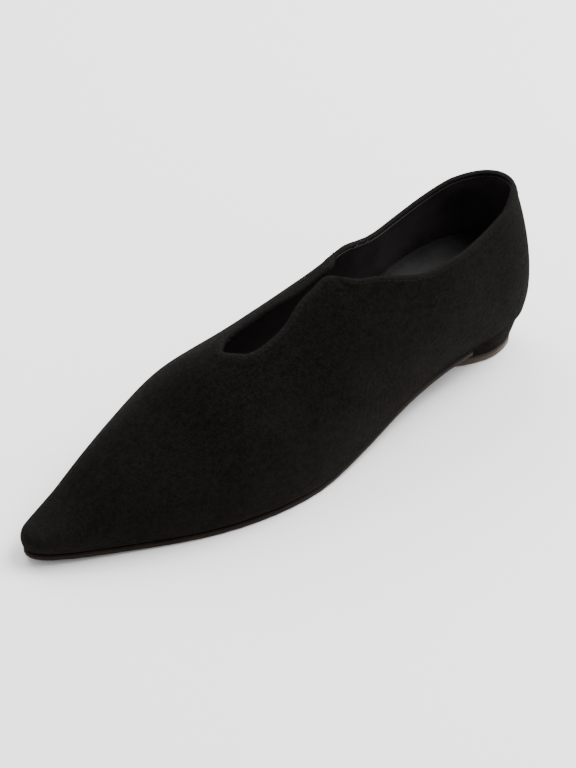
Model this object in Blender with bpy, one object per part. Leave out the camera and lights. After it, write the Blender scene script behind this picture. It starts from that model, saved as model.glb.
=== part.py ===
"""A pointed flat shoe for the left foot: suede upper, raised insole, outsole, covered heel and heel tip.

The shoe is worked out as a shoemaker's last is: a feather edge in plan, a ridge in side view, and
ribs that run from the feather edge up to the ridge. Ribs fan out round the heel and the toe point.
While it is modelled, +X runs from the back of the heel to the toe point, +Y to the outer side of
the foot and +Z up from the floor. The last step centres the finished shoe over the origin.
"""

import math
from collections import namedtuple

import bmesh
import bpy
import numpy as np

# Driving sizes, in metres
SHOE_LENGTH = 0.268
BALL_WIDTH = 0.076
INSTEP_HEIGHT = 0.0755
BACK_HEIGHT = 0.0708
HEEL_HEIGHT = 0.0188
TOE_SPRING = 0.003
TOE_ROUND = 0.0078
TOE_SIDESTEP = 0.003
WALL = 0.0018
GAP = 0.0003
INSOLE_GAP = 0.0005
FEATHER_ROUND = 0.0026
LASTING_MARGIN = 0.009
SOLE_THICKNESS = 0.003
SOLE_SETBACK = 0.0006
SOLE_CHAMFER = 0.0007
INSOLE_THICKNESS = 0.0026
INSOLE_CHAMFER = 0.0009
INSOLE_LIFT = 0.026
INSOLE_DISH = 0.0012
INSOLE_END_FROM_TOE = 0.024
INSOLE_NOSE = 0.010
SLIT_END_FROM_TOE = 0.1005
SLIT_LENGTH = 0.058
SLIT_HALF_WIDTH = 0.008
FLAP_BLEND = 0.004
SEAT_RADIUS = 0.030
HEEL_LENGTH = 0.0435
HEEL_SETBACK = 0.0018
HEEL_PINCH = 0.0075
HEEL_PINCH_DEPTH = 0.018
HEEL_TAPER = 0.0034
HEEL_TIP_THICKNESS = 0.0042
HEEL_TIP_CHAMFER = 0.0008
HEEL_CHAMFER = 0.0004

# The feather edge in plan, seen from above.
# Columns: station (share of SHOE_LENGTH), inner side and outer side (shares of BALL_WIDTH).
FEATHER = (
    (0.026, 0.178, 0.178),
    (0.105, 0.275, 0.262),
    (0.230, 0.255, 0.300),
    (0.380, 0.245, 0.393),
    (0.530, 0.455, 0.500),
    (0.650, 0.505, 0.494),
    (0.760, 0.415, 0.400),
    (0.880, 0.250, 0.228),
)

# The underside of the upper in side view.
# Columns: station (share of SHOE_LENGTH), share of the heel's rise, share of TOE_SPRING.
UNDERSIDE = (
    (0.00, 1.00, 0.00),
    (0.19, 0.93, 0.00),
    (0.30, 0.74, 0.00),
    (0.43, 0.28, 0.00),
    (0.56, 0.00, 0.00),
    (0.70, 0.00, 0.00),
    (0.82, 0.00, 0.16),
    (0.92, 0.00, 0.52),
    (1.00, 0.00, 1.00),
)

# The ridge in side view; behind the flaps it only steers the walls.
# Columns: station (share of SHOE_LENGTH), height over the floor (share of INSTEP_HEIGHT).
RIDGE = (
    (0.10, 1.550),
    (0.22, 1.380),
    (0.35, 1.190),
    (0.45, 1.030),
    (0.56, 0.885),
    (0.67, 0.800),
    (0.77, 0.588),
    (0.86, 0.418),
    (0.93, 0.262),
    (1.00, 0.180),
)

# How a wall leaves the feather edge and bends over to the ridge.
# Columns: station (share of SHOE_LENGTH), swell (share of BALL_WIDTH),
# rise of the swell (share of the ridge's height), shoulder (share of the rib's reach).
WALLS = (
    (0.00, 0.085, 0.25, 0.43),
    (0.22, 0.145, 0.43, 0.82),
    (0.41, 0.075, 0.475, 0.72),
    (0.63, 0.052, 0.555, 0.42),
    (0.86, 0.070, 0.765, 0.59),
    (1.00, 0.015, 0.81, 0.62),
)

# The collar's height over the feather edge.
# Columns: station (share of SHOE_LENGTH), inner side and outer side (shares of BACK_HEIGHT).
COLLAR = (
    (0.000, 0.945, 0.945),
    (0.045, 0.920, 0.965),
    (0.110, 0.875, 0.900),
    (0.165, 0.812, 0.846),
    (0.205, 0.776, 0.816),
    (0.250, 0.764, 0.812),
    (0.290, 0.792, 0.834),
    (0.370, 0.965, 0.950),
    (0.410, 1.020, 0.985),
    (0.450, 1.800, 1.450),
    (0.480, 2.200, 2.200),
)

# Half of the slit's opening, from its round end back to the flaps.
# Columns: distance from the end (share of SLIT_LENGTH), half opening (share of SLIT_HALF_WIDTH).
SLIT = (
    (0.00, 0.48),
    (0.20, 1.04),
    (0.42, 0.93),
    (0.68, 0.32),
    (0.90, 0.17),
    (1.00, 0.10),
)

# How far the insole is raised under the heel.
# Columns: station (share of SHOE_LENGTH), share of INSOLE_LIFT.
INSOLE_RISE = (
    (0.00, 0.98),
    (0.14, 1.02),
    (0.25, 0.93),
    (0.38, 0.36),
    (0.52, 0.04),
    (0.60, 0.00),
    (1.00, 0.00),
)

# How finely the shoe is faceted
HEEL_FAN = 9
TOE_FAN = 5
BEHIND_FLAPS = 8
ROUND_FLAPS = 6
ALONG_SLIT = 6
SLIT_END_SPANS = 4
VAMP_SPANS = 12
SOLE_SPANS = 26
HEEL_SPANS = 5
WALL_ROWS = 12
CURVE_STEPS = 60
TOE_POINT_ANGLE = 62
INSOLE_EDGE_SHARES = (0.0, 0.33, 0.67, 1.0)

# Shares: the most of a rib that the turned-under margin takes, and the dish halfway to the edge
LASTING_SHARE = 0.6
DISH_SHARE = 0.75

# Points closer than this are one point; edges straighter than this to a rib never meet it
MERGE = 0.00002
PARALLEL = 1e-12

OUTER = 1
INNER = -1

# A vertical plane through a root on the ridge line and a foot on the feather edge;
# squint is how squarely it meets the edge.
Rib = namedtuple("Rib", "root_x root_y way_x way_y reach squint side")


def table_curve(rows, column, at):
    """A smooth curve through one column of a table, with no overshoot between its rows."""
    stations = np.array([row[0] for row in rows])
    values = np.array([row[column] for row in rows])
    spans = np.diff(stations)
    slopes = np.diff(values) / spans
    tangents = np.zeros(len(values))
    tangents[0] = slopes[0]
    tangents[-1] = slopes[-1]
    for i in range(1, len(values) - 1):
        if slopes[i - 1] * slopes[i] > 0:
            before = 2 * spans[i] + spans[i - 1]
            after = spans[i] + 2 * spans[i - 1]
            tangents[i] = (before + after) / (before / slopes[i - 1] + after / slopes[i])
    at = np.clip(at, stations[0], stations[-1])
    i = np.clip(np.searchsorted(stations, at) - 1, 0, len(spans) - 1)
    t = (at - stations[i]) / spans[i]
    return (
        (1 + 2 * t) * (1 - t) ** 2 * values[i]
        + t * (1 - t) ** 2 * spans[i] * tangents[i]
        + t * t * (3 - 2 * t) * values[i + 1]
        + t * t * (t - 1) * spans[i] * tangents[i + 1]
    )


def closed_spline(points, steps):
    """A closed curve through the points, smooth in slope and in bend."""
    points = np.array(points)
    count = len(points)
    spans = np.linalg.norm(np.roll(points, -1, axis=0) - points, axis=1) ** 0.5
    left = np.zeros((count, count))
    right = np.zeros((count, 2))
    for i in range(count):
        after = (i + 1) % count
        left[i, i - 1] += 1 / spans[i - 1]
        left[i, i] += 2 / spans[i - 1] + 2 / spans[i]
        left[i, after] += 1 / spans[i]
        right[i] = 3 * (points[i] - points[i - 1]) / spans[i - 1] ** 2
        right[i] += 3 * (points[after] - points[i]) / spans[i] ** 2
    tangents = np.linalg.solve(left, right)
    t = np.linspace(0, 1, steps, endpoint=False)[:, None]
    pieces = []
    for i in range(count):
        after = (i + 1) % count
        pieces.append(
            (1 + 2 * t) * (1 - t) ** 2 * points[i]
            + t * (1 - t) ** 2 * spans[i] * tangents[i]
            + t * t * (3 - 2 * t) * points[after]
            + t * t * (t - 1) * spans[i] * tangents[after]
        )
    return np.concatenate(pieces)


def ridge_y(x):
    """The ridge line in plan: it swings to the inner side on its way to the toe point."""
    return INNER * TOE_SIDESTEP * np.clip(x / SHOE_LENGTH, 0, 1) ** 1.5


def feather_outline():
    """The feather edge in plan as a closed run of points."""
    toe_x = SHOE_LENGTH - TOE_ROUND
    toe_y = INNER * TOE_SIDESTEP
    lean = math.radians(TOE_POINT_ANGLE)
    beside = TOE_ROUND * math.sin(lean)
    ahead = toe_x + TOE_ROUND * math.cos(lean)
    points = [(0.0, 0.0)]
    points += [(row[0] * SHOE_LENGTH, row[2] * BALL_WIDTH) for row in FEATHER]
    points += [(ahead, toe_y + beside), (SHOE_LENGTH, toe_y), (ahead, toe_y - beside)]
    points += [(row[0] * SHOE_LENGTH, -row[1] * BALL_WIDTH) for row in reversed(FEATHER)]
    return closed_spline(points, CURVE_STEPS // 4)


def make_rib(root_x, angle, side, outline):
    """The rib that leaves the ridge line at root_x, turned by an angle from straight ahead."""
    root_y = ridge_y(root_x)
    way_x = math.cos(angle)
    way_y = side * math.sin(angle)
    edges = np.roll(outline, -1, axis=0) - outline
    far_x = outline[:, 0] - root_x
    far_y = outline[:, 1] - root_y
    across = way_x * edges[:, 1] - way_y * edges[:, 0]
    across = np.where(np.abs(across) < PARALLEL, PARALLEL, across)
    along = (far_x * edges[:, 1] - far_y * edges[:, 0]) / across
    share = (far_x * way_y - far_y * way_x) / across
    met = np.nonzero((along > 0) & (share >= 0) & (share <= 1))[0]
    hit = met[np.argmin(along[met])]
    squint = abs(across[hit]) / np.linalg.norm(edges[hit])
    return Rib(root_x, root_y, way_x, way_y, along[hit], squint, side)


def rib_loop(stations, with_heel, with_toe, outline):
    """Ribs round the shoe: the outer side from back to front, then the inner side back again."""
    places = []
    if with_heel:
        places += [(SEAT_RADIUS, math.pi - math.pi / 2 * k / HEEL_FAN) for k in range(HEEL_FAN)]
    places += [(x, math.pi / 2) for x in stations]
    if with_toe:
        front = stations[-1]
        places += [(front, math.pi / 2 * (1 - k / TOE_FAN)) for k in range(1, TOE_FAN + 1)]
    outer = [make_rib(x, angle, OUTER, outline) for x, angle in places]
    inner = [make_rib(x, angle, INNER, outline) for x, angle in places]
    if with_heel:
        inner = inner[1:]
    if with_toe:
        inner = inner[:-1]
    return outer + inner[::-1]


def upper_stations():
    """Stations of the straight ribs, closer together round the flaps and at the slit's end."""
    slit_end = SHOE_LENGTH - SLIT_END_FROM_TOE
    flaps = slit_end - SLIT_LENGTH
    end_zone = slit_end - SLIT_HALF_WIDTH
    toe_x = SHOE_LENGTH - TOE_ROUND
    flap_zone = SLIT_LENGTH / 4
    runs = (
        (SEAT_RADIUS, flaps - flap_zone, BEHIND_FLAPS),
        (flaps - flap_zone, flaps + flap_zone, ROUND_FLAPS),
        (flaps + flap_zone, end_zone, ALONG_SLIT),
    )
    stations = []
    for start, stop, count in runs:
        stations += list(np.linspace(start, stop, count, endpoint=False))
    for k in range(SLIT_END_SPANS):
        stations.append(end_zone + (slit_end - end_zone) * math.sin(math.pi / 2 * k / SLIT_END_SPANS))
    stations += list(np.linspace(slit_end, toe_x, VAMP_SPANS + 1))
    return stations


def underside(x):
    """Height of the upper's underside over the floor."""
    station = x / SHOE_LENGTH
    rise = HEEL_HEIGHT - SOLE_THICKNESS
    height = table_curve(UNDERSIDE, 1, station) * rise
    height = height + table_curve(UNDERSIDE, 2, station) * TOE_SPRING
    return height + SOLE_THICKNESS + GAP


def foot_station(rib):
    """Where the rib's foot stands, as a share of SHOE_LENGTH."""
    return (rib.root_x + rib.way_x * rib.reach) / SHOE_LENGTH


def wall_curve(rib):
    """The wall in the rib's plane from the feather edge to the ridge: distances out, heights."""
    station = foot_station(rib)
    low = underside(station * SHOE_LENGTH) + FEATHER_ROUND
    high = table_curve(RIDGE, 1, rib.root_x / SHOE_LENGTH) * INSTEP_HEIGHT
    swell = table_curve(WALLS, 1, station) * BALL_WIDTH
    rise = table_curve(WALLS, 2, station)
    shoulder = table_curve(WALLS, 3, station)
    t = np.linspace(0, 1, CURVE_STEPS)
    first = (1 - t) ** 3
    second = 3 * t * (1 - t) ** 2
    third = 3 * t * t * (1 - t)
    out = rib.reach * (first + second + third * shoulder) + second * swell
    up = low * first + (low + rise * (high - low)) * second + high * (third + t ** 3)
    return out, up


def run_lengths(out, up):
    """Distance walked along a curve at each of its points."""
    return np.concatenate([[0.0], np.cumsum(np.hypot(np.diff(out), np.diff(up)))])


def smooth_least(a, b, blend):
    """The lesser of two lengths, with a rounded change from one to the other."""
    return (a + b - math.sqrt((a - b) ** 2 + blend * blend)) / 2


def slit_half_opening(behind):
    """Half of the slit's opening at a distance behind its round end."""
    half = table_curve(SLIT, 1, behind / SLIT_LENGTH) * SLIT_HALF_WIDTH
    into = min(behind / SLIT_HALF_WIDTH, 1.0)
    return half * math.sqrt(1 - (1 - into) ** 2)


def top_length(rib, out, up):
    """How far up the wall the upper's edge lies: at the ridge, the slit or the collar."""
    lengths = run_lengths(out, up)
    behind = SHOE_LENGTH - SLIT_END_FROM_TOE - rib.root_x
    if behind <= 0:
        return lengths[-1]
    column = 1 if rib.side == INNER else 2
    rise = table_curve(COLLAR, column, foot_station(rib)) * BACK_HEIGHT
    collar = np.interp(up[0] + rise, up, lengths)
    if up[0] + rise > up[-1]:
        collar = lengths[-1] + up[0] + rise - up[-1]
    slit = lengths[-1] - slit_half_opening(behind)
    return smooth_least(collar, slit, min(FLAP_BLEND, 2 * (lengths[-1] - slit)))


def place(rib, out, up):
    """A point of the rib's plane, in space."""
    return (rib.root_x + rib.way_x * out, rib.root_y + rib.way_y * out, up)


def upper_section(rib):
    """Outer face of the upper on one rib: turned-under margin, feather round, wall."""
    foot = rib.reach - FEATHER_ROUND
    margin = min(LASTING_MARGIN, rib.reach * LASTING_SHARE)
    points = []
    for share in (1.0, 0.5, 0.0):
        out = foot - margin * share
        points.append(place(rib, out, underside(rib.root_x + rib.way_x * out)))
    low = underside(rib.root_x + rib.way_x * rib.reach)
    for turn in (30, 60):
        angle = math.radians(turn)
        out = foot + FEATHER_ROUND * math.sin(angle)
        points.append(place(rib, out, low + FEATHER_ROUND * (1 - math.cos(angle))))
    out, up = wall_curve(rib)
    lengths = run_lengths(out, up)
    for length in np.linspace(0, top_length(rib, out, up), WALL_ROWS):
        points.append(place(rib, np.interp(length, lengths, out), np.interp(length, lengths, up)))
    return points


def inner_face(rib, height):
    """Distance out to the inner face of the wall, less the gap, at a height."""
    out, up = wall_curve(rib)
    run = np.gradient(out)
    climb = np.gradient(up)
    size = np.hypot(run, climb)
    inset = (WALL + INSOLE_GAP) / rib.squint
    return np.interp(height, up + inset * run / size, out - inset * climb / size)


def insole_edge(rib, height):
    """Distance out to the insole's edge: inside the wall, and short of the toe point."""
    if rib.way_x <= 0:
        return inner_face(rib, height)
    return min(inner_face(rib, height), INSOLE_NOSE / math.sqrt(rib.way_x))


def insole_floor(x):
    """Height of the insole's underside, a gap over the turned-under margin."""
    return underside(x) + WALL + GAP


def insole_top(x):
    """Height of the insole's rim."""
    lift = table_curve(INSOLE_RISE, 1, x / SHOE_LENGTH) * INSOLE_LIFT
    return insole_floor(x) + INSOLE_THICKNESS + lift


def insole_section(rib):
    """Half of the insole on one rib, from its middle underneath, round its edge, to its middle on top."""
    foot = insole_edge(rib, insole_floor(rib.root_x) + INSOLE_CHAMFER)
    x = rib.root_x + rib.way_x * foot
    low = insole_floor(x)
    high = insole_top(x)
    points = [place(rib, 0.0, insole_floor(rib.root_x))]
    points.append(place(rib, foot - INSOLE_CHAMFER - FEATHER_ROUND / 2, low))
    for share in INSOLE_EDGE_SHARES:
        height = low + INSOLE_CHAMFER + (high - low - 2 * INSOLE_CHAMFER) * share
        points.append(place(rib, insole_edge(rib, height), height))
    points.append(place(rib, insole_edge(rib, high - INSOLE_CHAMFER) - INSOLE_CHAMFER, high))
    middle = rib.root_x + rib.way_x * foot / 2
    points.append(place(rib, foot / 2, insole_top(middle) - INSOLE_DISH * DISH_SHARE))
    points.append(place(rib, 0.0, insole_top(rib.root_x) - INSOLE_DISH))
    return points


def heel_setback(rib):
    """How far the heel stands in from the feather edge: it draws in towards its breast."""
    depth = foot_station(rib) * SHOE_LENGTH
    share = np.clip((depth - HEEL_PINCH_DEPTH) / (HEEL_LENGTH - HEEL_PINCH_DEPTH), 0, 1)
    return HEEL_SETBACK + HEEL_PINCH * share ** 2


def level(height):
    """A face at one height all along the shoe."""
    return lambda x: height


def slab_section(rib, setback, taper, chamfer, top_of, bottom_of):
    """Half of a slab on one rib, from its middle on top, round its edge, to its middle underneath."""
    edge = rib.reach - setback / rib.squint
    lower = edge - taper / rib.squint

    def height(face, out):
        return face(rib.root_x + rib.way_x * out)

    return [
        place(rib, 0.0, height(top_of, 0.0)),
        place(rib, edge * 0.5, height(top_of, edge * 0.5)),
        place(rib, edge - chamfer, height(top_of, edge - chamfer)),
        place(rib, edge, height(top_of, edge) - chamfer),
        place(rib, lower, height(bottom_of, lower) + chamfer),
        place(rib, lower - chamfer, height(bottom_of, lower - chamfer)),
        place(rib, lower * 0.5, height(bottom_of, lower * 0.5)),
        place(rib, 0.0, height(bottom_of, 0.0)),
    ]


def skin(mesh, sections):
    """Faces between neighbouring sections, and between the last and the first."""
    rows = [[mesh.verts.new(point) for point in section] for section in sections]
    count = len(rows)
    for i in range(count):
        here = rows[i]
        after = rows[(i + 1) % count]
        for k in range(len(here) - 1):
            mesh.faces.new((here[k], after[k], after[k + 1], here[k + 1]))


def add_object(name, mesh, material):
    """Turns a built mesh into a named object with its material."""
    bmesh.ops.remove_doubles(mesh, verts=mesh.verts, dist=MERGE)
    bmesh.ops.recalc_face_normals(mesh, faces=mesh.faces)
    data = bpy.data.meshes.new(name)
    mesh.to_mesh(data)
    mesh.free()
    data.shade_smooth()
    data.set_sharp_from_angle(angle=math.radians(40))
    data.materials.append(material)
    item = bpy.data.objects.new(name, data)
    bpy.context.scene.collection.objects.link(item)
    return item


def make_material(name, colour, roughness):
    """A plain Principled material."""
    material = bpy.data.materials.new(name)
    material.use_nodes = True
    shader = material.node_tree.nodes["Principled BSDF"]
    shader.inputs["Base Color"].default_value = (*colour, 1.0)
    shader.inputs["Roughness"].default_value = roughness
    return material


def build_upper(outline, material):
    """The hollow upper: its outer face, then the wall's thickness inwards."""
    mesh = bmesh.new()
    ribs = rib_loop(upper_stations(), True, True, outline)
    skin(mesh, [upper_section(rib) for rib in ribs])
    item = add_object("upper", mesh, material)
    wall = item.modifiers.new("wall", "SOLIDIFY")
    wall.thickness = WALL
    wall.offset = -1.0
    wall.use_even_offset = True
    return item


def build_insole(outline, material):
    """The insole, raised under the heel, a gap inside the upper."""
    mesh = bmesh.new()
    front = SHOE_LENGTH - INSOLE_END_FROM_TOE - INSOLE_NOSE
    stations = np.linspace(SEAT_RADIUS, front, SOLE_SPANS + 1)
    ribs = rib_loop(stations, True, True, outline)
    skin(mesh, [insole_section(rib) for rib in ribs])
    return add_object("insole", mesh, material)


def build_outsole(outline, material):
    """The outsole, from a gap ahead of the heel to the toe point."""
    def top_of(x):
        return underside(x) - GAP

    def bottom_of(x):
        return underside(x) - GAP - SOLE_THICKNESS

    mesh = bmesh.new()
    stations = np.linspace(HEEL_LENGTH + GAP, SHOE_LENGTH - TOE_ROUND, SOLE_SPANS + 1)
    ribs = rib_loop(stations, False, True, outline)
    sections = [slab_section(rib, SOLE_SETBACK, 0.0, SOLE_CHAMFER, top_of, bottom_of) for rib in ribs]
    skin(mesh, sections)
    return add_object("outsole", mesh, material)


def build_heel(outline, material):
    """The covered heel block under the seat."""
    def top_of(x):
        return underside(x) - GAP

    mesh = bmesh.new()
    ribs = rib_loop(np.linspace(SEAT_RADIUS, HEEL_LENGTH, HEEL_SPANS + 1), True, False, outline)
    base = level(HEEL_TIP_THICKNESS + GAP)
    sections = [slab_section(rib, heel_setback(rib), HEEL_TAPER, HEEL_CHAMFER, top_of, base) for rib in ribs]
    skin(mesh, sections)
    return add_object("heel", mesh, material)


def build_heel_tip(outline, material):
    """The thin top piece under the heel, flat on the floor."""
    mesh = bmesh.new()
    ribs = rib_loop(np.linspace(SEAT_RADIUS, HEEL_LENGTH, HEEL_SPANS + 1), True, False, outline)
    top = level(HEEL_TIP_THICKNESS)
    floor = level(0.0)
    sections = [slab_section(rib, heel_setback(rib) + HEEL_TAPER, 0.0, HEEL_TIP_CHAMFER, top, floor) for rib in ribs]
    skin(mesh, sections)
    return add_object("heel_tip", mesh, material)


def centre_over_origin(items):
    """Moves the shoe so that the bottom centre of its box is the origin."""
    corners = np.array([vertex.co for item in items for vertex in item.data.vertices])
    low = corners.min(axis=0)
    high = corners.max(axis=0)
    shift = ((low[0] + high[0]) / 2, (low[1] + high[1]) / 2, low[2])
    for item in items:
        for vertex in item.data.vertices:
            vertex.co = [vertex.co[k] - shift[k] for k in range(3)]


for leftover in list(bpy.data.objects):
    bpy.data.objects.remove(leftover, do_unlink=True)

suede = make_material("black_suede", (0.012, 0.011, 0.010), 0.92)
sock = make_material("dark_sock_leather", (0.030, 0.029, 0.030), 0.60)
sole_leather = make_material("dark_sole_leather", (0.045, 0.028, 0.020), 0.50)
heel_suede = make_material("black_heel_suede", (0.012, 0.011, 0.010), 0.92)
tip_rubber = make_material("brown_tip_rubber", (0.055, 0.030, 0.018), 0.30)

OUTLINE = feather_outline()
centre_over_origin([
    build_upper(OUTLINE, suede),
    build_insole(OUTLINE, sock),
    build_outsole(OUTLINE, sole_leather),
    build_heel(OUTLINE, heel_suede),
    build_heel_tip(OUTLINE, tip_rubber),
])
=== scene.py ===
# %% [markdown]
# A pointed suede flat for the left foot, dressed over its solid model.
# The solid model gives the true shapes, and every piece here starts from a copy of one of its nodes,
# so the dressed shoe and the solids agree. Sizes are in metres. +X runs to the toe point,
# +Y to the outer side of the foot and +Z up from the floor.

import math

import bmesh
import bpy
import numpy as np
from mathutils import Matrix, Vector
from mathutils.bvhtree import BVHTree
from mathutils.kdtree import KDTree


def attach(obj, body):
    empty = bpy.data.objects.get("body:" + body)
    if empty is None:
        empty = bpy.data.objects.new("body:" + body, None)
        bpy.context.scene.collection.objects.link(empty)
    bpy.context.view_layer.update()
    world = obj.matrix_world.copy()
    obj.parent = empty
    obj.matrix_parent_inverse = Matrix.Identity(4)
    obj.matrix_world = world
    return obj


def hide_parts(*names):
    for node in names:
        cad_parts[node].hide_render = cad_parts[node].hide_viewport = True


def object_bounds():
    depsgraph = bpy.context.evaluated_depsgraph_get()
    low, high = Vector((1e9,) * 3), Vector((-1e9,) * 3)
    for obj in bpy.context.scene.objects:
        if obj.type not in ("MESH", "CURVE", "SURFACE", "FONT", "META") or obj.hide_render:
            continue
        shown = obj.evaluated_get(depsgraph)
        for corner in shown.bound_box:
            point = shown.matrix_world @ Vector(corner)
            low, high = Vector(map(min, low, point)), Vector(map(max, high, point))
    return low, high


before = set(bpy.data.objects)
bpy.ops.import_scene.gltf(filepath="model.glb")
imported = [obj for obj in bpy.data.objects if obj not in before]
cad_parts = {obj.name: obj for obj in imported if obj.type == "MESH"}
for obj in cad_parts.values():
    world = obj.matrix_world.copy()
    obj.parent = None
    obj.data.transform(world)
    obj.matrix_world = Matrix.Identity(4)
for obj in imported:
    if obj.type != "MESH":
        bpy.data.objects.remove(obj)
solid_size = [list(corner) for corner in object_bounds()]
print("solids", [round(1000 * (b - a), 1) for a, b in zip(*solid_size)], "mm")

# %% [markdown]
# A solid's copy comes in as loose triangles. Its doubles are merged and its triangles joined into
# four-sided faces, which a subdivision surface rounds without lumps.

# %% Copy a solid
MERGE = 0.00001
FLAT_WITHIN = math.radians(35)
SQUARE_WITHIN = math.radians(75)


def copy_of(node):
    """A bmesh of a solid, merged and mostly four-sided."""
    mesh = bmesh.new()
    mesh.from_mesh(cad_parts[node].data)
    bmesh.ops.remove_doubles(mesh, verts=mesh.verts, dist=MERGE)
    bmesh.ops.join_triangles(
        mesh, faces=mesh.faces, angle_face_threshold=FLAT_WITHIN, angle_shape_threshold=SQUARE_WITHIN
    )
    return mesh


upper_cage = copy_of("upper")
sides = [len(face.verts) for face in upper_cage.faces]
print("upper cage", len(sides), "faces,", round(100 * sides.count(4) / len(sides)), "% four-sided")

# %% [markdown]
# Soft suede has no facets. A subdivision surface turns each cage into the smooth skin that it
# stands for, and the result is kept as a mesh, so that hems and creases can be laid on it next. The
# surface cuts a cage's corners, so the cage is first pushed out, in a few passes, until the surface
# runs through the points that the solid has.

# %% Round a cage
THROUGH_POINTS_PASSES = 3
THROUGH_POINTS_SHARE = 0.8
THROUGH_POINTS_MOST = 0.0012
SHARP = math.radians(50)


def rounded(cage, levels):
    """The smooth surface through a cage's own points, as a new bmesh."""
    data = bpy.data.meshes.new("cage")
    cage.to_mesh(data)
    cage.free()
    item = bpy.data.objects.new("cage", data)
    bpy.context.scene.collection.objects.link(item)
    modifier = item.modifiers.new("rounding", "SUBSURF")
    modifier.levels = 1
    wanted = np.array([vertex.co for vertex in data.vertices])
    placed = wanted.copy()
    for _ in range(THROUGH_POINTS_PASSES):
        smooth = item.evaluated_get(bpy.context.evaluated_depsgraph_get()).data
        reached = np.array([vertex.co for vertex in smooth.vertices[: len(wanted)]])
        placed += (wanted - reached) * THROUGH_POINTS_SHARE
        push = placed - wanted
        far = np.maximum(np.linalg.norm(push, axis=1) / THROUGH_POINTS_MOST, 1.0)
        placed = wanted + push / far[:, None]
        data.vertices.foreach_set("co", placed.ravel())
        data.update()
    print("pushed out by up to", round(1000 * np.linalg.norm(placed - wanted, axis=1).max(), 2), "mm")
    modifier.levels = levels
    modifier.render_levels = levels
    smooth = bmesh.new()
    smooth.from_object(item, bpy.context.evaluated_depsgraph_get())
    bpy.data.objects.remove(item, do_unlink=True)
    return smooth


def keep(name, mesh, material, node):
    """Turns a finished bmesh into a shown piece that stands for one node."""
    data = bpy.data.meshes.new(name)
    mesh.to_mesh(data)
    mesh.free()
    data.shade_smooth()
    data.set_sharp_from_angle(angle=SHARP)
    data.materials.append(material)
    piece = bpy.data.objects.new(name, data)
    bpy.context.scene.collection.objects.link(piece)
    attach(piece, "root")
    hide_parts(node)
    print(name, len(data.polygons), "faces")
    return piece


# %% [markdown]
# The upper's skin has four zones: the suede outside, the rim at the topline, the first band inside
# the rim, where the suede is folded in, and the lined inside. The rim meets its neighbours at a right
# angle, so a flood that stops at sharp edges finds each zone.

# %% Find the zones of the upper
OUTSIDE, RIM, FOLD, INSIDE = range(4)
RIM_HARDNESS = 0.5
ABOVE_FEATHER = 0.03
SEED_AREA = 0.00001


def flood(seed):
    """Faces reached from a seed without crossing a sharp edge."""
    found = {seed}
    waiting = [seed]
    while waiting:
        for edge in waiting.pop().edges:
            if len(edge.link_faces) == 2 and edge.calc_face_angle() < SHARP:
                for face in edge.link_faces:
                    if face not in found:
                        found.add(face)
                        waiting.append(face)
    return found


upper_cage.normal_update()
zone = upper_cage.faces.layers.int.new("zone")
hardness = upper_cage.edges.layers.float.new("crease_edge")
toe_face = max(upper_cage.faces, key=lambda face: face.calc_center_median().x)
outside = flood(toe_face)
inside_seed = min(
    (face for face in upper_cage.faces if face not in outside and face.calc_area() > SEED_AREA),
    key=lambda face: abs(face.calc_center_median().x) + abs(face.normal.z) * 0.01,
)
inside = flood(inside_seed)
for face in upper_cage.faces:
    face[zone] = OUTSIDE if face in outside else INSIDE if face in inside else RIM
for edge in upper_cage.edges:
    zones = {face[zone] for face in edge.link_faces}
    if RIM in zones and len(zones) == 2:
        edge[hardness] = RIM_HARDNESS
        if INSIDE in zones and edge.verts[0].co.z > ABOVE_FEATHER:
            for face in edge.link_faces:
                if face[zone] == INSIDE:
                    face[zone] = FOLD
counts = [sum(face[zone] == z for face in upper_cage.faces) for z in (OUTSIDE, RIM, FOLD, INSIDE)]
print("outside, rim, fold, inside:", counts)

upper_skin = rounded(upper_cage, 2)
upper_skin.faces.ensure_lookup_table()
upper_skin.verts.ensure_lookup_table()
wear_and_highlight = upper_skin.verts.layers.float.new("wear_and_highlight")
zone = upper_skin.faces.layers.int["zone"]
print("upper skin", len(upper_skin.faces), "faces")

# %% [markdown]
# The topline is one closed run that goes round the collar, down one side of the slit and up the
# other. Both the hem and the stitching follow it, so it is walked once and kept as a list of points.

# %% Walk along an edge between zones


def edge_runs(mesh, wanted):
    """Closed runs of vertices along the edges that a test picks."""
    ahead = {}
    for edge in mesh.edges:
        if wanted(edge):
            a, b = edge.verts
            ahead.setdefault(a, []).append(b)
            ahead.setdefault(b, []).append(a)
    runs = []
    while ahead:
        start = next(iter(ahead))
        run = [start]
        while True:
            nexts = [v for v in ahead.get(run[-1], []) if len(run) < 2 or v != run[-2]]
            if not nexts or (len(run) > 2 and start in nexts):
                break
            if nexts[0] in run[:-1]:
                break
            run.append(nexts[0])
        for vertex in run:
            ahead.pop(vertex, None)
        runs.append(run)
    return sorted(runs, key=len, reverse=True)


def between(first, second):
    """A test for edges that lie between two zones, above the feather edge."""
    def test(edge):
        zones = [face[zone] for face in edge.link_faces]
        return sorted(zones) == sorted((first, second)) and edge.verts[0].co.z > ABOVE_FEATHER
    return test


outer_run = edge_runs(upper_skin, between(OUTSIDE, RIM))[0]
inner_run = edge_runs(upper_skin, between(RIM, FOLD))[0]
print("topline points", len(outer_run), "outside,", len(inner_run), "inside")

# %% [markdown]
# The suede is turned over at the topline and pressed flat, which leaves a band about five
# millimetres wide that stands a little proud. It is laid on as a soft step, by each point's distance
# from the topline. The same distance drives the wear and a painted highlight: handling polishes and
# greys the turned edge, and the thin light line along the fold is painted into the colour there.

# %% Press the hem
HEM_WIDTH = 0.0050
HEM_HEIGHT = 0.00032
HEM_STEP = 0.0009

topline = KDTree(len(outer_run))
for i, vertex in enumerate(outer_run):
    topline.insert(vertex.co, i)
topline.balance()
upper_skin.normal_update()
from_topline = np.array([topline.find(vertex.co)[2] for vertex in upper_skin.verts])


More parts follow.
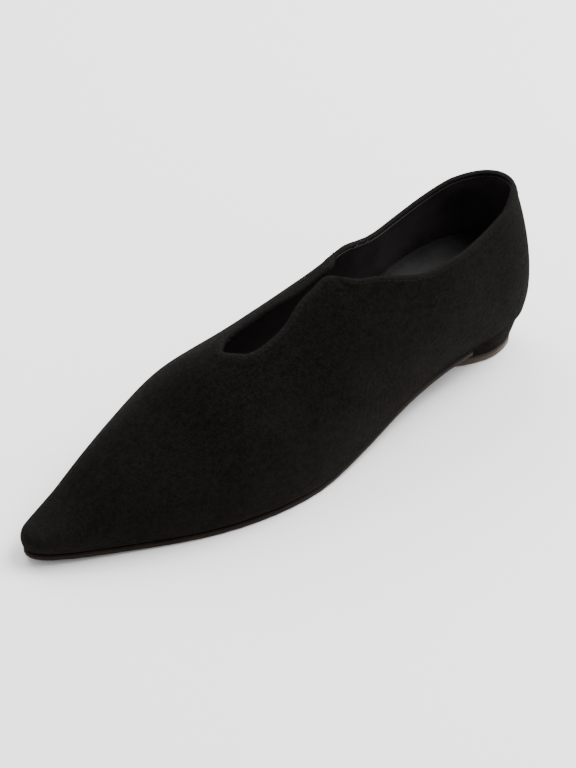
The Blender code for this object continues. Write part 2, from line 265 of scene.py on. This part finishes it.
def soft_step(value, start, end):
    """0 before start, 1 after end, and a smooth climb between."""
    t = np.clip((value - start) / (end - start), 0, 1)
    return t * t * (3 - 2 * t)


is_outside = np.array([
    any(face[zone] == OUTSIDE for face in vertex.link_faces) for vertex in upper_skin.verts
])
hem = (1 - soft_step(from_topline, HEM_WIDTH, HEM_WIDTH + HEM_STEP)) * HEM_HEIGHT
print("points in the hem", int((hem > 0).sum()))

# %% [markdown]
# Suede that has been worn a little keeps soft troughs where the foot bends: across the vamp at the
# ball, below the flaps and at the ankle. Each is listed on the side of the shoe that it crosses, by
# the places of its two ends, and fades out at both.

# %% Lay the creases
# Columns: side (+1 outer, -1 inner), first end (x, z), second end (x, z), half width,
# depth (minus stands out).
CREASES = (
    (+1, (0.026, 0.022), (0.044, 0.044), 0.0050, 0.00034),
    (+1, (0.034, 0.016), (0.054, 0.036), 0.0060, -0.00022),
    (+1, (0.050, 0.014), (0.064, 0.033), 0.0045, 0.00026),
    (+1, (-0.006, 0.066), (-0.030, 0.044), 0.0075, 0.00045),
    (+1, (-0.030, 0.058), (-0.052, 0.040), 0.0070, -0.00030),
    (+1, (-0.052, 0.050), (-0.066, 0.030), 0.0065, 0.00038),
    (+1, (-0.112, 0.030), (-0.086, 0.040), 0.0060, 0.00022),
    (+1, (0.006, 0.036), (0.026, 0.052), 0.0060, 0.00024),
    (-1, (0.028, 0.024), (0.046, 0.042), 0.0050, 0.00034),
    (-1, (0.048, 0.016), (0.062, 0.032), 0.0050, 0.00026),
    (-1, (-0.004, 0.064), (-0.030, 0.042), 0.0075, 0.00048),
    (-1, (-0.034, 0.050), (-0.056, 0.032), 0.0070, 0.00036),
    (-1, (-0.112, 0.034), (-0.088, 0.044), 0.0060, 0.00022),
)
CREASE_POINTS = 7
BESIDE_SHOE = 0.2

skin_tree = BVHTree.FromBMesh(upper_skin)
places = np.array([vertex.co for vertex in upper_skin.verts])
depths = np.zeros(len(places))
for side, first, second, half_width, depth in CREASES:
    run = []
    for share in np.linspace(0, 1, CREASE_POINTS):
        x = first[0] + (second[0] - first[0]) * share
        z = first[1] + (second[1] - first[1]) * share
        hit = skin_tree.ray_cast(Vector((x, side * BESIDE_SHOE, z)), Vector((0, -side, 0)))[0]
        if hit is not None:
            run.append(hit)
    run = np.array(run)
    gaps = np.full(len(places), 1.0)
    along = np.zeros(len(places))
    for k in range(len(run) - 1):
        step = run[k + 1] - run[k]
        share = np.clip(((places - run[k]) @ step) / (step @ step), 0, 1)
        gap = np.linalg.norm(places - run[k] - share[:, None] * step, axis=1)
        nearer = gap < gaps
        along = np.where(nearer, (k + share) / (len(run) - 1), along)
        gaps = np.minimum(gaps, gap)
    depths += depth * np.exp(-((gaps / half_width) ** 2)) * np.sin(np.pi * np.clip(along, 0.04, 0.96))

for vertex, rise, trough, shown in zip(upper_skin.verts, hem, depths, is_outside):
    if shown:
        vertex.co += vertex.normal * (rise - trough)
print("creases", len(CREASES), "deepest", round(1000 * depths.max(), 2), "mm")

# %% [markdown]
# Wear, and a painted highlight along the topline, are stored on the points as one number from 0 to 1:
# strongest along the topline, where the fold's thin light line is painted in on top of the wear, at the
# toe point and low on the sides, where shoes rub against each other and against the ground.

# %% Mark the worn places and the painted topline highlight
TOE_X = solid_size[1][0]
WORN_TOE = 0.030
WORN_FOOT = 0.007
FOOT_START = 0.004
EDGE_REACH = 0.0016
TOE_SHARE = 0.45
FOOT_SHARE = 0.35

# Along the topline this is rubbed wear and a painted highlight: a thin light line right at the fold.
for vertex, gap in zip(upper_skin.verts, from_topline):
    edge_wear_and_highlight = math.exp(-((gap / EDGE_REACH) ** 2))
    toe_wear = TOE_SHARE * float(soft_step(vertex.co.x, TOE_X - WORN_TOE, TOE_X))
    low_wear = FOOT_SHARE * (1 - float(soft_step(vertex.co.z, FOOT_START, FOOT_START + WORN_FOOT)))
    vertex[wear_and_highlight] = min(1.0, edge_wear_and_highlight + toe_wear + low_wear)
print("worn and highlighted points", sum(vertex[wear_and_highlight] > 0.3 for vertex in upper_skin.verts))

# %% [markdown]
# Small helpers lay out a material's nodes. They add a node with its values, put values and colours
# together, make a material round a Principled shader, and make a group that materials can share.

# %% Node helpers


def add_node(tree, kind, values=(), **settings):
    """A node with its settings and the values of its inputs."""
    made = tree.nodes.new(kind)
    for name, value in settings.items():
        setattr(made, name, value)
    for name, value in dict(values).items():
        made.inputs[name].default_value = value
    return made


def noise(tree, where, scale, detail, roughness=0.5, distortion=0.0):
    """Noise in the shoe's own coordinates; scale counts its lumps per metre."""
    made = add_node(
        tree,
        "ShaderNodeTexNoise",
        {"Scale": scale, "Detail": detail, "Roughness": roughness, "Distortion": distortion},
    )
    tree.links.new(where, made.inputs["Vector"])
    return made.outputs["Fac"]


def remap(tree, value, low, high, to_low=0.0, to_high=1.0):
    """Stretches the part of a value between low and high."""
    made = add_node(
        tree,
        "ShaderNodeMapRange",
        {"From Min": low, "From Max": high, "To Min": to_low, "To Max": to_high},
        interpolation_type="SMOOTHSTEP",
    )
    tree.links.new(value, made.inputs["Value"])
    return made.outputs["Result"]


def combine(tree, operation, a, b):
    """Two values, or a value and a number, put together."""
    made = add_node(tree, "ShaderNodeMath", operation=operation)
    for socket, value in zip(made.inputs, (a, b)):
        if isinstance(value, (int, float)):
            socket.default_value = value
        else:
            tree.links.new(value, socket)
    return made.outputs[0]


def mix_colour(tree, share, first, second):
    """From the first colour to the second by a share."""
    made = add_node(tree, "ShaderNodeMix", data_type="RGBA")
    shown = [socket for socket in made.inputs if socket.enabled]
    for socket, value in zip(shown, (share, first, second)):
        if isinstance(value, (tuple, float)):
            socket.default_value = value
        else:
            tree.links.new(value, socket)
    return [socket for socket in made.outputs if socket.enabled][0]


def new_material(name, **values):
    """A Principled material, its constants set on the shader itself."""
    material = bpy.data.materials.new(name)
    material.use_nodes = True
    shader = material.node_tree.nodes["Principled BSDF"]
    for key, value in values.items():
        shader.inputs[key.replace("_", " ")].default_value = value
    return material, material.node_tree, shader


def new_group(name, given_values, given_back):
    """An empty node group with its sockets, and its input and output nodes."""
    group = bpy.data.node_groups.new(name, "ShaderNodeTree")
    for label, kind in given_values:
        group.interface.new_socket(label, in_out="INPUT", socket_type="NodeSocket" + kind)
    for label, kind in given_back:
        group.interface.new_socket(label, in_out="OUTPUT", socket_type="NodeSocket" + kind)
    return group, group.nodes.new("NodeGroupInput"), group.nodes.new("NodeGroupOutput")


def weighed(tree, *parts):
    """The sum of values, each times its own weight."""
    total = combine(tree, "MULTIPLY", *parts[0])
    for value, weight in parts[1:]:
        total = combine(tree, "ADD", total, combine(tree, "MULTIPLY", value, weight))
    return total


def place_of(tree):
    """The shoe's own coordinates, in metres."""
    return add_node(tree, "ShaderNodeTexCoord").outputs["Object"]


def stretched(tree, where, scale):
    """Coordinates scaled by a different amount each way."""
    made = add_node(tree, "ShaderNodeMapping", {"Scale": scale})
    tree.links.new(where, made.inputs["Vector"])
    return made.outputs["Vector"]


def bump(tree, height, distance, strength):
    """A normal that stands for a fine relief."""
    made = add_node(tree, "ShaderNodeBump", {"Distance": distance, "Strength": strength})
    tree.links.new(height, made.inputs["Height"])
    return made.outputs["Normal"]


print("node helpers ready")

# %% [markdown]
# Suede is leather whose short fibres stand up. Brushed one way it looks darker and the other way
# greyer, so it is never one black: it has hand-sized soft patches, faint strokes along the shoe, and
# a fine grain of fibre tips. The upper and the heel's cover share this effect, so it is a group that
# gives out a colour, a roughness and a normal.

# %% The suede group
FINISH = (("Colour", "Color"), ("Roughness", "Float"), ("Normal", "Vector"))

nap_group, given, result = new_group(
    "suede nap", (("Deep", "Color"), ("Raised", "Color"), ("Rubbed and highlight", "Color"), ("Wear and highlight", "Float")), FINISH
)
where = place_of(nap_group)
patches = remap(nap_group, noise(nap_group, where, 26, 3, 0.55, 0.6), 0.40, 0.62)
lie_of_nap = stretched(nap_group, where, (110, 420, 420))
strokes = remap(nap_group, noise(nap_group, lie_of_nap, 1, 4, 0.6), 0.35, 0.68)
grain = noise(nap_group, stretched(nap_group, where, (900, 1500, 1500)), 1, 4, 0.78)
tips = noise(nap_group, where, 4200, 2, 0.6)
tufts = remap(nap_group, noise(nap_group, where, 430, 3, 0.7), 0.34, 0.66)
lit_tips = remap(nap_group, tips, 0.30, 0.66, 0.55, 1.0)
fleck = combine(nap_group, "MULTIPLY", remap(nap_group, grain, 0.40, 0.66), lit_tips)
tone = weighed(nap_group, (patches, 0.20), (strokes, 0.20), (tufts, 0.30), (fleck, 0.85))
colour = mix_colour(nap_group, tone, given.outputs["Deep"], given.outputs["Raised"])
# Worn places take the lighter rubbed colour; along the topline the same colour is also a painted highlight
# on the fold.
rubbed_grain = remap(nap_group, grain, 0.2, 0.7, 0.35, 0.85)
rubbed_and_highlight_share = combine(nap_group, "MULTIPLY", given.outputs["Wear and highlight"], rubbed_grain)
colour = mix_colour(nap_group, rubbed_and_highlight_share, colour, given.outputs["Rubbed and highlight"])
relief = weighed(nap_group, (grain, 0.50), (tips, 0.30), (tufts, 0.35))
nap_group.links.new(colour, result.inputs["Colour"])
nap_group.links.new(remap(nap_group, tone, 0.0, 1.0, 0.97, 0.84), result.inputs["Roughness"])
nap_group.links.new(bump(nap_group, relief, 0.0010, 0.9), result.inputs["Normal"])


def suede_material(name, deep, raised, rubbed_and_highlight):
    """Suede in three tones of one colour."""
    material, tree, shader = new_material(
        name,
        Sheen_Weight=0.008,
        Sheen_Roughness=0.45,
        Sheen_Tint=(0.72, 0.62, 0.52, 1.0),
        Specular_IOR_Level=0.03,
    )
    group = add_node(tree, "ShaderNodeGroup", node_tree=nap_group)
    for label, value in (("Deep", deep), ("Raised", raised), ("Rubbed and highlight", rubbed_and_highlight)):
        group.inputs[label].default_value = (*value, 1.0)
    mark = add_node(tree, "ShaderNodeAttribute", attribute_name="wear_and_highlight")
    tree.links.new(mark.outputs["Fac"], group.inputs["Wear and highlight"])
    tree.links.new(group.outputs["Colour"], shader.inputs["Base Color"])
    tree.links.new(group.outputs["Roughness"], shader.inputs["Roughness"])
    tree.links.new(group.outputs["Normal"], shader.inputs["Normal"])
    return material


black_suede = suede_material(
    "black suede", (0.0013, 0.0012, 0.0011), (0.0058, 0.0052, 0.0046), (0.0110, 0.0098, 0.0086)
)
print("suede group has", len(nap_group.nodes), "nodes")

# %% [markdown]
# Leather is smooth with a tight pebble and fine wrinkles. Lining, sock and sole edge use the same
# effect in their own colours, with more or less gloss. Lining and sock carry painted light in the
# vamp, ahead of the flaps: a paler tone is painted there, where less light reaches them.

# %% The leather group
# Where the painted light inside starts and where it is full, along the shoe, and its paler tone.
PAINTED_LIGHT_FROM = -0.045
PAINTED_LIGHT_TO = 0.0
PAINTED_LIGHT_TONE = (0.075, 0.056, 0.068, 1.0)

hide_group, given, result = new_group(
    "leather grain",
    (("Dark", "Color"), ("Light", "Color"), ("Matt", "Float"), ("Painted light ahead", "Float")),
    FINISH,
)
where = place_of(hide_group)
clouds = remap(hide_group, noise(hide_group, where, 60, 4, 0.6, 0.3), 0.35, 0.65)
pebble = add_node(
    hide_group, "ShaderNodeTexVoronoi", {"Scale": 1500.0, "Randomness": 1.0}, feature="SMOOTH_F1"
)
hide_group.links.new(where, pebble.inputs["Vector"])
wrinkles = noise(hide_group, stretched(hide_group, where, (500, 160, 160)), 1, 3, 0.6)
hide_tone = mix_colour(hide_group, clouds, given.outputs["Dark"], given.outputs["Light"])
ahead = add_node(hide_group, "ShaderNodeSeparateXYZ")
hide_group.links.new(where, ahead.inputs[0])
# Painted light: the tone turns paler ahead of the flaps, where less light reaches the inside.
painted_light = remap(hide_group, ahead.outputs["X"], PAINTED_LIGHT_FROM, PAINTED_LIGHT_TO)
painted_light = combine(hide_group, "MULTIPLY", painted_light, given.outputs["Painted light ahead"])
hide_tone = mix_colour(hide_group, painted_light, hide_tone, PAINTED_LIGHT_TONE)
hide_group.links.new(hide_tone, result.inputs["Colour"])
matt = combine(hide_group, "ADD", given.outputs["Matt"], combine(hide_group, "MULTIPLY", clouds, 0.10))
hide_group.links.new(matt, result.inputs["Roughness"])
relief = weighed(hide_group, (pebble.outputs["Distance"], 0.6), (wrinkles, 0.5))
hide_group.links.new(bump(hide_group, relief, 0.0003, 0.35), result.inputs["Normal"])


def leather_material(name, dark, light, matt, painted_light_ahead=0.0, **values):
    """Leather in two tones of one colour, with a paler painted light towards the toe by a share."""
    material, tree, shader = new_material(name, **values)
    group = add_node(tree, "ShaderNodeGroup", node_tree=hide_group)
    group.inputs["Dark"].default_value = (*dark, 1.0)
    group.inputs["Light"].default_value = (*light, 1.0)
    group.inputs["Matt"].default_value = matt
    group.inputs["Painted light ahead"].default_value = painted_light_ahead
    for label, socket in (("Colour", "Base Color"), ("Roughness", "Roughness"), ("Normal", "Normal")):
        tree.links.new(group.outputs[label], shader.inputs[socket])
    return material


lining_leather = leather_material(
    "lining leather", (0.0110, 0.0088, 0.0102), (0.0180, 0.0146, 0.0168), 0.52, 0.9, Specular_IOR_Level=0.22
)
sock_leather = leather_material(
    "sock leather", (0.0050, 0.0044, 0.0050), (0.0088, 0.0078, 0.0088), 0.46, 0.6, Specular_IOR_Level=0.20
)
sole_leather = leather_material(
    "sole leather", (0.0045, 0.0028, 0.0018), (0.0120, 0.0070, 0.0042), 0.50, Specular_IOR_Level=0.08
)
print("leather group has", len(hide_group.nodes), "nodes")

# %% [markdown]
# The lining is a thin leather skin glued inside the suede. It reaches up to the row of faces along
# the rim, which stay suede, and is thickened towards the foot, so its edge shows as a fine step.

# %% Cut the lining
LINING_THICKNESS = 0.00035


def zone_copy(source, wanted):
    """A copy of the faces that a test picks."""
    piece = source.copy()
    layer = piece.faces.layers.int.get("zone")
    bmesh.ops.delete(piece, geom=[face for face in piece.faces if not wanted(face, layer)], context="FACES")
    return piece


def thickened(mesh, thickness):
    """A sheet turned into a closed thin solid, grown along its normals."""
    bmesh.ops.solidify(mesh, geom=mesh.faces[:], thickness=-thickness)
    bmesh.ops.recalc_face_normals(mesh, faces=mesh.faces)
    return mesh


rim_points = set(inner_run)
for face in upper_skin.faces:
    if face[zone] == FOLD and not any(vertex in rim_points for vertex in face.verts):
        face[zone] = INSIDE
lining = zone_copy(upper_skin, lambda face, layer: face[layer] == INSIDE)
keep("lining", thickened(lining, LINING_THICKNESS), lining_leather, "upper")

# %% [markdown]
# The topline is held by one row of fine stitches a little over two millimetres in. The same row is
# seen on both faces of the wall, because a stitch goes through. Each is a small rounded grain of
# thread, sunk halfway, laid end to end along a run that is stepped in from the topline.

# %% Lay a row of stitches
STITCH_PITCH = 0.0025
STITCH_LENGTH = 0.0019
STITCH_RADIUS = 0.00019
STITCH_INSET = 0.0023
STITCH_AIM = 0.0004


def inset_run(run, tree, inward, distance):
    """Points a distance in from a closed run of vertices, on a surface, with its normals."""
    spots = []
    count = len(run)
    for i in range(0, count, 2):
        ahead = (run[(i + 2) % count].co - run[i - 2].co).normalized()
        middle = inward(run[i])
        into = middle - run[i].co
        into = (into - ahead * into.dot(ahead)).normalized()
        spot, normal, _, _ = tree.find_nearest(run[i].co + into * distance)
        spots.append((spot, normal))
    return spots


def stitch_row(spots):
    """A bmesh of stitches at an even pitch along a closed run of points."""
    points = np.array([spot for spot, _ in spots] + [spots[0][0]])
    normals = np.array([normal for _, normal in spots] + [spots[0][1]])
    walked = np.concatenate([[0.0], np.cumsum(np.linalg.norm(np.diff(points, axis=0), axis=1))])
    total = round(walked[-1] / STITCH_PITCH)
    row = bmesh.new()
    for k in range(total):
        at = walked[-1] * (k + 0.5) / total
        middle = Vector([np.interp(at, walked, points[:, j]) for j in range(3)])
        before = Vector([np.interp(at - STITCH_AIM, walked, points[:, j]) for j in range(3)])
        after = Vector([np.interp(at + STITCH_AIM, walked, points[:, j]) for j in range(3)])
        up = Vector([np.interp(at, walked, normals[:, j]) for j in range(3)]).normalized()
        along = (after - before).normalized()
        across = up.cross(along).normalized()
        up = along.cross(across)
        turn = Matrix((along, across, up)).transposed().to_4x4()
        size = Matrix.Diagonal((STITCH_LENGTH / 2, STITCH_RADIUS, STITCH_RADIUS, 1.0))
        bmesh.ops.create_uvsphere(
            row, u_segments=8, v_segments=6, radius=1.0, matrix=Matrix.Translation(middle) @ turn @ size
        )
    return row


def middle_of(faces):
    """The middle of some faces."""
    total = Vector()
    for face in faces:
        total += face.calc_center_median()
    return total / len(faces)


def towards(wanted_zone):
    """A way to step in from the rim: to the middle of a point's faces in one zone."""
    def middle(vertex):
        return middle_of([face for face in vertex.link_faces if face[zone] == wanted_zone])
    return middle


thread, _, _ = new_material(
    "black thread", Base_Color=(0.0026, 0.0023, 0.0021, 1.0), Roughness=0.75, Specular_IOR_Level=0.12
)
outer_sheet = zone_copy(upper_skin, lambda face, layer: face[layer] == OUTSIDE)
inner_sheet = zone_copy(upper_skin, lambda face, layer: face[layer] in (FOLD, INSIDE))
outer_tree = BVHTree.FromBMesh(outer_sheet)
inner_tree = BVHTree.FromBMesh(inner_sheet)
upper_skin.verts.ensure_lookup_table()
outer_spots = inset_run(outer_run, outer_tree, towards(OUTSIDE), STITCH_INSET)
inner_spots = inset_run(inner_run, inner_tree, towards(FOLD), STITCH_INSET)
inner_spots = [(spot + normal * LINING_THICKNESS, normal) for spot, normal in inner_spots]
keep("topline_stitches_outside", stitch_row(outer_spots), thread, "upper")
keep("topline_stitches_inside", stitch_row(inner_spots), thread, "upper")
outer_sheet.free()
inner_sheet.free()

# %% [markdown]
# With the lining cut and the stitches placed, the upper's own skin is kept as the suede.

# %% Keep the suede
keep("suede_upper", upper_skin, black_suede, "upper")

# %% [markdown]
# The heel block is wrapped in the same suede. Its edges are softened with a narrow bevel, as cloth
# and hide never turn a sharp corner. The block has no worn topline, so its wear and painted highlight
# are read as nothing.

# %% Cover the heel


def softened(node, width, segments, angle):
    """A copy of a solid with its sharper edges rounded."""
    mesh = copy_of(node)
    mesh.normal_update()
    limit = math.radians(angle)
    sharp = [edge for edge in mesh.edges if len(edge.link_faces) == 2 and edge.calc_face_angle() > limit]
    bmesh.ops.bevel(
        mesh,
        geom=sharp,
        offset=width,
        offset_type="OFFSET",
        affect="EDGES",
        segments=segments,
        profile=0.5,
        material=-1,
        clamp_overlap=True,
    )
    return mesh


heel_suede = suede_material(
    "heel suede", (0.0012, 0.0011, 0.0010), (0.0054, 0.0047, 0.0041), (0.0095, 0.0083, 0.0072)
)
keep("heel_cover", softened("heel", 0.0006, 3, 50), heel_suede, "heel")

# %% [markdown]
# Under the heel sits a thin stack: a dark leather lift and, under it, a top piece of polished
# rubber that touches the floor. The top piece's lighter brown is partly its own tone and partly a
# painted reflection along the heel's bottom rim. A shallow groove parts the two.

# %% Build the heel tip
TOP_PIECE = 0.0019
GROOVE = 0.00025

tip = copy_of("heel_tip")
for height in (TOP_PIECE - GROOVE, TOP_PIECE, TOP_PIECE + GROOVE):
    whole = tip.verts[:] + tip.edges[:] + tip.faces[:]
    bmesh.ops.bisect_plane(tip, geom=whole, plane_co=(0, 0, height), plane_no=(0, 0, 1))
tip.normal_update()
for vertex in tip.verts:
    if abs(vertex.co.z - TOP_PIECE) < GROOVE / 2:
        away = Vector((vertex.normal.x, vertex.normal.y, 0)).normalized()
        vertex.co -= away * GROOVE
tip_material, tree, shader = new_material(
    "heel tip", Coat_Weight=0.10, Coat_Roughness=0.25, Roughness=0.42, Specular_IOR_Level=0.18
)
where = place_of(tree)
split = add_node(tree, "ShaderNodeSeparateXYZ")
tree.links.new(where, split.inputs[0])
lift_share = remap(tree, split.outputs["Z"], TOP_PIECE - 0.0001, TOP_PIECE + 0.0001)
streaks = remap(tree, noise(tree, stretched(tree, where, (60, 60, 2600)), 1, 3), 0.35, 0.65)
lift_brown = mix_colour(tree, streaks, (0.016, 0.010, 0.005, 1.0), (0.028, 0.017, 0.009, 1.0))
# The top piece's lighter brown: partly its own tone, partly a painted reflection on the bottom rim.
top_piece_brown_and_reflection = mix_colour(tree, streaks, (0.040, 0.022, 0.011, 1.0), (0.070, 0.041, 0.022, 1.0))
tree.links.new(mix_colour(tree, lift_share, top_piece_brown_and_reflection, lift_brown), shader.inputs["Base Color"])
keep("heel_tip_layers", tip, tip_material, "heel_tip")

# %% [markdown]
# The outsole is thin leather. Only its edge shows, dyed dark and burnished to a warm brown, so its
# corners are softened and its finish kept half glossy.

# %% Dress the outsole
keep("outsole_leather", softened("outsole", 0.00035, 2, 40), sole_leather, "outsole")

# %% [markdown]
# Inside, the raised insole board is covered by a padded sock of soft leather. The board keeps the
# solid's form; the sock is cut from its top, drawn in from the edge and thickened, with a row of
# stitches round it.

# %% Lay the sock on the insole
SOCK_INSET = 0.0012
SOCK_THICKNESS = 0.0006
SOCK_STITCH_INSET = 0.0022
SOCK_FACES_UP = 0.72

board = rounded(copy_of("insole"), 1)
board.normal_update()
sock = board.copy()
bmesh.ops.delete(sock, geom=[face for face in sock.faces if face.normal.z < SOCK_FACES_UP], context="FACES")
border = bmesh.ops.inset_region(
    sock, faces=sock.faces[:], thickness=SOCK_INSET, depth=0.0, use_boundary=True
)
bmesh.ops.delete(sock, geom=border["faces"], context="FACES")
sock_tree = BVHTree.FromBMesh(sock)
sock_run = edge_runs(sock, lambda edge: edge.is_boundary)[0]
sock_spots = inset_run(sock_run, sock_tree, lambda vertex: middle_of(vertex.link_faces), SOCK_STITCH_INSET)
sock_spots = [(spot + normal * SOCK_THICKNESS, normal) for spot, normal in sock_spots]
keep("sock_stitches", stitch_row(sock_spots), thread, "insole")
keep("sock", thickened(sock, SOCK_THICKNESS), sock_leather, "insole")
keep("insole_board", board, lining_leather, "insole")

# %% [markdown]
# The floor is a plain pale sheet, and the light is that of a product studio: a broad soft key from
# above and behind the heel, which grazes the nap along the ridge, and a weaker fill from the inner side.

# %% Floor and light
floor_mesh = bmesh.new()
bmesh.ops.create_grid(floor_mesh, x_segments=1, y_segments=1, size=3.0)
floor_data = bpy.data.meshes.new("floor")
floor_mesh.to_mesh(floor_data)
floor_mesh.free()
floor_paint, _, _ = new_material("white floor", Base_Color=(0.96, 0.96, 0.96, 1.0), Roughness=0.7)
floor_data.materials.append(floor_paint)
floor = bpy.data.objects.new("floor", floor_data)
bpy.context.scene.collection.objects.link(floor)

world = bpy.data.worlds.new("studio")
world.use_nodes = True
world.node_tree.nodes["Background"].inputs["Color"].default_value = (1.0, 1.0, 1.0, 1.0)
world.node_tree.nodes["Background"].inputs["Strength"].default_value = 0.95
bpy.context.scene.world = world


def area_light(name, place, size, power):
    """A square soft light aimed at the shoe."""
    data = bpy.data.lights.new(name, "AREA")
    data.size = size
    data.energy = power
    lamp = bpy.data.objects.new(name, data)
    lamp.location = place
    lamp.rotation_euler = (Vector((0, 0, 0.03)) - Vector(place)).to_track_quat("-Z", "Y").to_euler()
    bpy.context.scene.collection.objects.link(lamp)
    return lamp


area_light("key", (-0.75, 0.25, 1.25), 1.0, 44)
area_light("fill", (-0.15, -0.90, 1.10), 1.2, 18)
print("floor, sky and two lights")

# %% [markdown]
# The camera stands where the photograph's did: ahead and to the outer side of the shoe, about forty
# degrees up and a little under a metre away, rolled by a degree. It is closer in, to hold one shoe.

# %% Camera
AZIMUTH = math.radians(141.1)
ELEVATION = math.radians(39.8)
ROLL = math.radians(1.2)
DISTANCE = 0.948
FOCAL_PIXELS = 1548 * 1.42
FRAME_HEIGHT = 768
SENSOR = 36.0

back = Vector((
    math.sin(AZIMUTH) * math.cos(ELEVATION), -math.cos(AZIMUTH) * math.cos(ELEVATION), math.sin(ELEVATION)
))
right = Vector((0, 0, 1)).cross(back).normalized()
up = back.cross(right)
tilted_right = right * math.cos(ROLL) + up * math.sin(ROLL)
tilted_up = up * math.cos(ROLL) - right * math.sin(ROLL)
camera_data = bpy.data.cameras.new("camera")
camera_data.sensor_width = SENSOR
camera_data.lens = FOCAL_PIXELS * SENSOR / FRAME_HEIGHT
camera = bpy.data.objects.new("camera", camera_data)
bpy.context.scene.collection.objects.link(camera)
turn = Matrix((tilted_right, tilted_up, back)).transposed().to_4x4()
camera.matrix_world = Matrix.Translation(Vector((0, 0, 0.03)) + back * DISTANCE) @ turn
bpy.context.scene.camera = camera
print("lens", round(camera_data.lens, 1), "mm")
